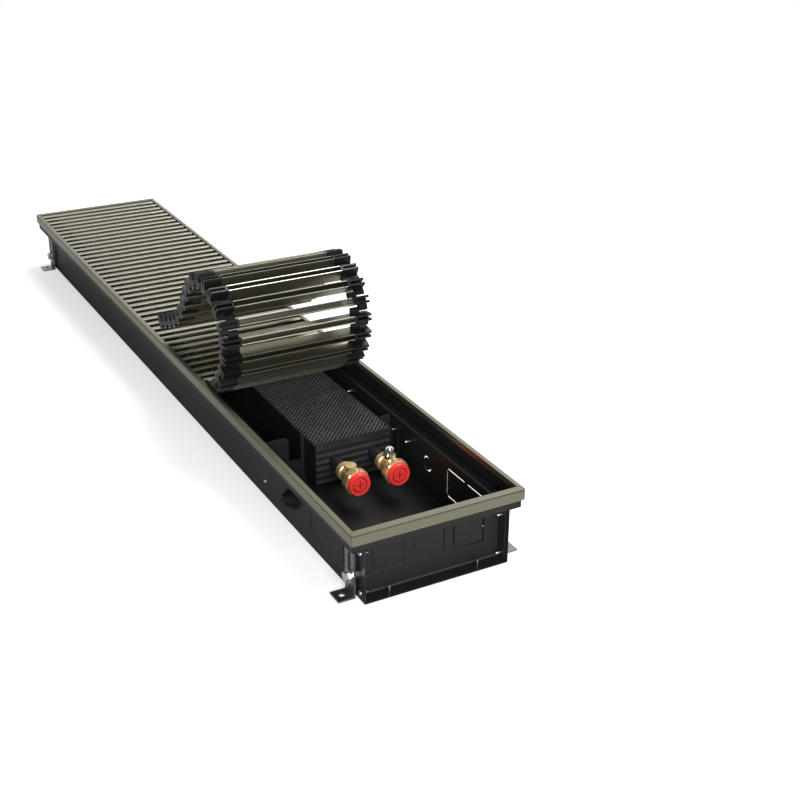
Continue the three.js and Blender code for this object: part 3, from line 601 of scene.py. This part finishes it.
def cap_face(y):
    """A disc whose face height is a function of the distance from its centre and of the cross.

    The ring groove is e to the minus fourth power of the distance from its middle over its half
    width, the cross is two crossed strips, and the deeper of the two counts.
    """
    r = np.concatenate([[0.01], np.linspace(0.5, 12.8, 42), [cap_radius]])
    turn = np.arange(96) * 2 * np.pi / 96
    a, b = r[:, None] * np.cos(turn), r[:, None] * np.sin(turn)
    groove = np.exp(-(((r - groove_radius) / groove_half) ** 4))[:, None]
    cross = np.maximum((np.abs(a) < cross_half) * (np.abs(b) < cross_reach),
                       (np.abs(b) < cross_half) * (np.abs(a) < cross_reach))
    dish = dish_depth * (r[:, None] > dish_from) * (r[:, None] < dish_to)
    bevel = cap_bevel * (r[:, None] > 13)
    face = cap_high[0] - 0.05 - groove_depth * np.maximum(groove, cross) - dish - bevel
    top = np.stack([np.broadcast_to(face, a.shape), y + a, tube_z + b], -1)
    back_x = np.full(a.shape[1], cap_low[0] + 0.05)
    back = np.stack([back_x, y + a[-1], tube_z + b[-1]], -1)[None]
    points, faces = grid(np.concatenate([top, back]), around=True)
    count = len(r) * 96
    return points, faces + [list(range(96)), list(range(count, count + 96))]


def box(low, high):
    """A plain block between two corners."""
    (x0, y0, z0), (x1, y1, z1) = low, high
    return prism([(y0, z0), (y1, z0), (y1, z1), (y0, z1)], x0, x1)


def cap_groove_shades(y):
    """Dark red sheets on the floors of the ring groove and of the cross, a painted shade, as a
    flat ring, an upright and two arms.
    """
    front = cap_high[0] - shade_sheet_depth
    back = front - shade_sheet_thickness
    inner, outer = groove_radius - 0.65, groove_radius + 0.65
    ring = [(inner, back), (outer, back), (outer, front), (inner, front)]
    reach, half = cross_reach - 0.1, cross_half - 0.07
    marks = [turned_ring(ring, (0, y, tube_z), "x", 64),
             box((back, y - half, tube_z - reach), (front, y + half, tube_z + reach))]
    for start, end in ((0.7, reach), (-reach, -0.7)):
        marks.append(box((back, y + start, tube_z - half), (front, y + end, tube_z + half)))
    return marks


for side, y in tube_ys.items():
    piece(f"transit_cap_{side}", [cap_face(y)], cap_red, f"cap_{side}",
          replaces=(f"cap_{side}",), smooth=30)
    piece(f"cap_groove_shades_{side}", cap_groove_shades(y), groove_painted_shade, f"cap_{side}")


# --- Plug and air vent ------------------------------------------------------------------------
# The left boss is closed by a flat turned brass plug. The right one holds the vent, a knurled,
# nickel-plated body with a slotted screw in its top.

plug_high = np.array(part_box("drain_plug")[1]) * 1000
seat_z, plug_top = valve_high[2] + 0.2, plug_high[2] - 0.1
plug = [(0, seat_z), (6.6, seat_z), (7.15, seat_z + 0.5), (7.15, plug_top - 0.7),
        (6.7, plug_top - 0.2), (2.5, plug_top), (0, plug_top)]
piece("plug", [turned(plug, (boss_x, left_y, 0), "z", 40)], brass_bright, "casing",
      replaces=("drain_plug",), smooth=30)

bright_nickel = finish("bright_nickel", (0.8, 0.8, 0.8), (0.66, 0.66, 0.67), 0.12, metallic=1.0,
                       cloud=80, grain=1200, bump=0.03)
vent_high = np.array(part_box("air_vent")[1]) * 1000
vent_rise = vent_high[2] - 0.05 - seat_z
knurl_teeth, knurl_depth = 14, 0.9


def knurled(profile, centre, teeth, depth):
    """A turned body with teeth: a profile point is (radius, height, share of the teeth's depth).

    The radius loses half the depth, times the share, times one less the cosine of the turn
    times the number of teeth.
    """
    sides = teeth * 4
    turn = np.arange(sides) * 2 * np.pi / sides
    r, h, share = np.array(profile, float).T[..., None]
    wave = r - depth * share * (0.5 - 0.5 * np.cos(teeth * turn))
    heights = np.broadcast_to(h, wave.shape)
    rings = np.stack([wave * np.cos(turn), wave * np.sin(turn), heights], -1)
    points, faces = grid(rings + np.array(centre, float), around=True)
    last = (len(profile) - 1) * sides
    return points, faces + [list(range(sides)), list(range(last, last + sides))]


vent_flange = [(3.0, 0, 0), (6.6, 0, 0), (6.8, 1.6, 0), (6.0, 2.0, 0), (6.0, 2.6, 0)]
vent_knurl = [(7.9, 3.1, 1), (7.9, 6.9, 1), (6.6, 7.7, 0)]
vent_cup = [(5.0, vent_rise - 0.4, 0), (4.5, vent_rise, 0), (3.6, vent_rise, 0),
            (3.6, vent_rise - 1.4, 0), (0.1, vent_rise - 1.4, 0)]
vent_body = knurled(vent_flange + vent_knurl + vent_cup, (boss_x, right_y, seat_z), knurl_teeth,
                    knurl_depth)
piece("vent", [vent_body], bright_nickel, "casing", replaces=("air_vent",),
      smooth=30)
screw_low, screw_high = (np.array(corner) * 1000 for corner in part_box("vent_screw"))
screw_radius, slot_width, slot_depth = 3.1, 0.9, 1.1


def slotted_head(centre, radius, low, high):
    """A screw head as two half discs above a full disc, so that a slot is left between them."""
    slot_floor = high - slot_depth
    full_disc = [(0, low), (radius, low), (radius, slot_floor), (0, slot_floor)]
    parts = [turned(full_disc, centre, "z", 32)]
    edge = math.asin(slot_width / 2 / radius)
    for start in (edge, np.pi + edge):
        arc = np.linspace(start, start + np.pi - 2 * edge, 16)
        outline = [(centre[0] + radius * math.cos(t), centre[1] + radius * math.sin(t))
                   for t in arc]
        parts.append(prism(outline, slot_floor, high, "z"))
    return parts


vent_screw = slotted_head((boss_x, right_y, 0), screw_radius, screw_low[2], screw_high[2])
piece("vent_screw_head", vent_screw, bright_nickel, "vent_screw",
      replaces=("vent_screw",), smooth=30)


# --- Levelling legs ---------------------------------------------------------------------------
# Zinc-plated pressed strips with a bent foot, one at each corner. A bolt with a washer and a nut
# clamps each through its slot, at the height that levels the trench.

leg_zinc = finish("zinc_leg", (0.33, 0.33, 0.33), (0.2, 0.2, 0.2), 0.32, metallic=0.95, cloud=70,
                  grain=1300, bump=0.12)
bolt_zinc = finish("bolt_zinc", (0.86, 0.86, 0.85), (0.66, 0.66, 0.66), 0.26, metallic=0.9,
                   cloud=160, grain=1800, bump=0.06)
for corner in ("near_right", "near_left", "far_right", "far_left"):
    clothe(leg_zinc, f"leg_{corner}")
    clothe(bolt_zinc, f"leg_bolt_{corner}")


# --- Grommet ----------------------------------------------------------------------------------
# A stepped black rubber grommet seals the cable's hole in the left wall. Its cone is cut back to
# the step that fits the cable, and a lip holds it from inside.

grommet_low, grommet_high = (np.array(corner) * 1000 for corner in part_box("cable_grommet"))
grommet_at = ((grommet_low[0] + grommet_high[0]) / 2, 0, (grommet_low[2] + grommet_high[2]) / 2)
hole_radius, rim_radius, lip_radius, cable_radius = 9, 13.2, 11.8, 2.6
rim_foot, step_in, step_out = 0.35, 1.5, 2.6
cone = [(cable_radius, -1.8), (hole_radius, -1.8), (hole_radius, rim_foot),
        (rim_radius, rim_foot)]
for n in range(5):
    r, d = rim_radius - step_in * n, rim_foot + step_out * n
    cone += [(r, d + 1.3), (r - 0.4, d + 1.6), (r - step_in, d + 1.7), (r - step_in, d + step_out)]
cone += [(cable_radius, rim_foot + 5 * step_out - 0.05)]
lip = [(cable_radius, -3.2), (lip_radius, -3.2), (lip_radius, -1.85), (cable_radius, -1.85)]
grommet = [turned_ring(on_wall(part, -1, outer_wall), grommet_at, "y", 40) for part in (cone, lip)]
piece("grommet", grommet, black_rubber, "casing", replaces=("cable_grommet",),
      smooth=30)


# --- Grille -----------------------------------------------------------------------------------
# 61 anodised channel bars across the trench on black plastic end links. Thirty-nine lie flat, and
# the others are rolled back on their link pins. The bars' top edges are rounded.

bar_bronze = finish("bar_bronze_anodised", (0.3, 0.288, 0.228), (0.265, 0.252, 0.195), 0.28,
                    metallic=0.95, cloud=24, grain=260, spread=0.03, bump=0.008,
                    stretch=(1, 0.05, 1))
# The light, glossy strips along the rolled bars' open feet are a painted highlight.
foot_painted_highlight = finish("bar_foot_painted_highlight", (0.72, 0.7, 0.62), (0.6, 0.58, 0.5), 0.3,
                       metallic=0.85, cloud=90, grain=1200, bump=0.03)
link_plastic = finish("black_link_plastic", (0.008, 0.008, 0.0078), (0.005, 0.005, 0.005), 0.38,
                      cloud=90, grain=1100, bump=0.15, specular=0.32)
pitch, hinge_z, last_flat_x, flat_count, rolled_count = 18.75, 79.0, 150, 39, 22
bar_end, bar_width, bar_wall, bar_top, bar_foot = 94.2, 8.5, 1.2, 6.0, -12.2
bar_half, shoulder_radius, foot_chamfer = bar_width / 2, 1.6, 0.2
link_end, link_wide, link_half, link_top, link_foot = 94.5, 22.0, 4.7, 4.7, -12.55
link_inner = link_end - link_wide
link_face = link_end - 0.05


def bar_outline():
    """The channel's section about the hinge line: quarter circles join its top to its sides."""
    centre = (bar_half - shoulder_radius, bar_top - shoulder_radius)
    shoulder = [(centre[0] + shoulder_radius * math.cos(t),
                 centre[1] + shoulder_radius * math.sin(t)) for t in np.linspace(0, np.pi / 2, 5)]
    hollow, under = bar_half - bar_wall, bar_top - bar_wall
    chamfer_top = bar_foot + foot_chamfer
    outside = [(bar_half, chamfer_top), *shoulder, *[(-a, b) for a, b in shoulder[::-1]],
               (-bar_half, chamfer_top), (foot_chamfer - bar_half, bar_foot)]
    inside = [(-hollow - foot_chamfer, bar_foot), (-hollow, chamfer_top), (-hollow, under),
              (hollow, under), (hollow, chamfer_top), (hollow + foot_chamfer, bar_foot),
              (bar_half - foot_chamfer, bar_foot)]
    return outside + inside


bar_section = bar_outline()
bar_under = bar_top - bar_wall
strip_section = [(a, max(b, bar_under)) for a, b in bar_section
                 if b > bar_under - 0.01 or abs(a) == bar_half]


def one_bar():
    """A bar about its own hinge line: a channel between the links, and its top alone over them."""
    ends = [prism(strip_section, *sorted((side * link_inner, side * bar_end)), "y")
            for side in (1, -1)]
    return [prism(bar_section, -link_inner, link_inner, "y"), *ends]


def foot_highlight_strips():
    """Two light strips along the channel's open foot, inside its walls: a painted highlight."""
    wide, inset, foot, top = 0.75, 0.22, bar_foot - 0.06, bar_foot + 0.5
    reach = link_inner - 0.1
    return [prism([(a, foot), (a + wide, foot), (a + wide, top), (a, top)], -reach, reach, "y")
            for a in (inset - bar_half, bar_half - inset - wide)]


def one_link(side, has_eye=True, has_pin=True):
    """An end link: a block under the bar's end parted into two blades, an eye arm and a pin arm.

    Each arm is a strip as wide as its round end, a half circle about the hinge line.
    """
    web, soft, arm_radius, arm_root = 3.0, 0.7, 2.7, link_half - 0.4
    crown = [(link_half, link_top - soft), (link_half - soft, link_top),
             (soft - link_half, link_top), (-link_half, link_top - soft)]
    outside = [(link_half - 0.5, link_foot), (link_half, link_foot + 1.5), *crown,
               (-link_half, link_foot + 1.5), (0.5 - link_half, link_foot)]
    slot = [(-1.7, link_foot), (-1.6, -4.2), (-1.1, -3.6), (1.1, -3.6), (1.6, -4.2),
            (1.7, link_foot)]
    arm = [(arm_root, -arm_radius)]
    arm += [(pitch / 2 + arm_radius * math.cos(t), arm_radius * math.sin(t))
            for t in np.linspace(-np.pi / 2, np.pi / 2, 9)]
    arm += [(arm_root, arm_radius)]
    split = link_end - link_wide / 2

    def across(section, start, end):
        """A section carried over a stretch of the bar's end, on the link's own side."""
        return prism(section, *sorted((side * start, side * end)), "y")

    parts = [across(outside, link_inner, link_inner + web),
             across(outside + slot, link_inner + web, link_face)]
    if has_eye:
        parts.append(across(arm, link_inner, split - 0.15))
    if has_pin:
        parts.append(across([(-a, b) for a, b in arm], split + 0.15, link_face))
    return parts


def placed(parts, x, z, heading=0.0):
    """Parts turned nose-up by heading about the hinge line's direction and moved to (x, z)."""
    c, s = math.cos(heading), math.sin(heading)
    turn = np.array([[c, 0, s], [0, 1, 0], [-s, 0, c]])
    place = np.array([x, 0, z])
    return [(np.asarray(points).reshape(-1, 3) @ turn + place, faces) for points, faces in parts]


flat_x = [last_flat_x - pitch * n for n in range(flat_count)]
flat_bars = [part for x in flat_x for part in placed(one_bar(), x, hinge_z)]
piece("flat_bars", flat_bars, bar_bronze, "grille_flat",
      replaces=("grille_flat",))
flat_links = [part for n, x in enumerate(flat_x) for side in (1, -1)
              for part in placed(one_link(side, has_pin=n < flat_count - 1), x, hinge_z)]
piece("flat_links", flat_links, link_plastic, "grille_flat")

# The roll is a sum of four even bends: degrees in all, the bars before it, the bars it takes.
# Each bar's heading follows from them, and each hinge lies one pitch on from the last.
bends = [(57.6, 0, 5), (176.6, 4.8, 9.7), (-36.7, 16.3, 3.3), (4, 14.5, 7.5)]
roll_starts = (1, 6, 11, 15)
hinge = np.array([last_flat_x + pitch / 2, hinge_z])
for n in range(1, rolled_count + 1):
    heading = math.radians(sum(turn * min(max((n - before) / bars, 0), 1)
                               for turn, before, bars in bends))
    along = np.array([math.cos(heading), math.sin(heading)])
    x, z = hinge + along * pitch / 2
    hinge = hinge + along * pitch
    body = f"grille_roll_{sum(n >= start for start in roll_starts)}"
    piece(f"rolled_bar_{n:02d}", placed(one_bar(), x, z, heading), bar_bronze, body,
          replaces=(f"grille_bar_{n:02d}",))
    piece(f"rolled_foot_highlights_{n:02d}", placed(foot_highlight_strips(), x, z, heading), foot_painted_highlight, body)
    links = [part for side in (1, -1) for part in one_link(side, has_eye=n < rolled_count)]
    piece(f"rolled_links_{n:02d}", placed(links, x, z, heading), link_plastic, body)
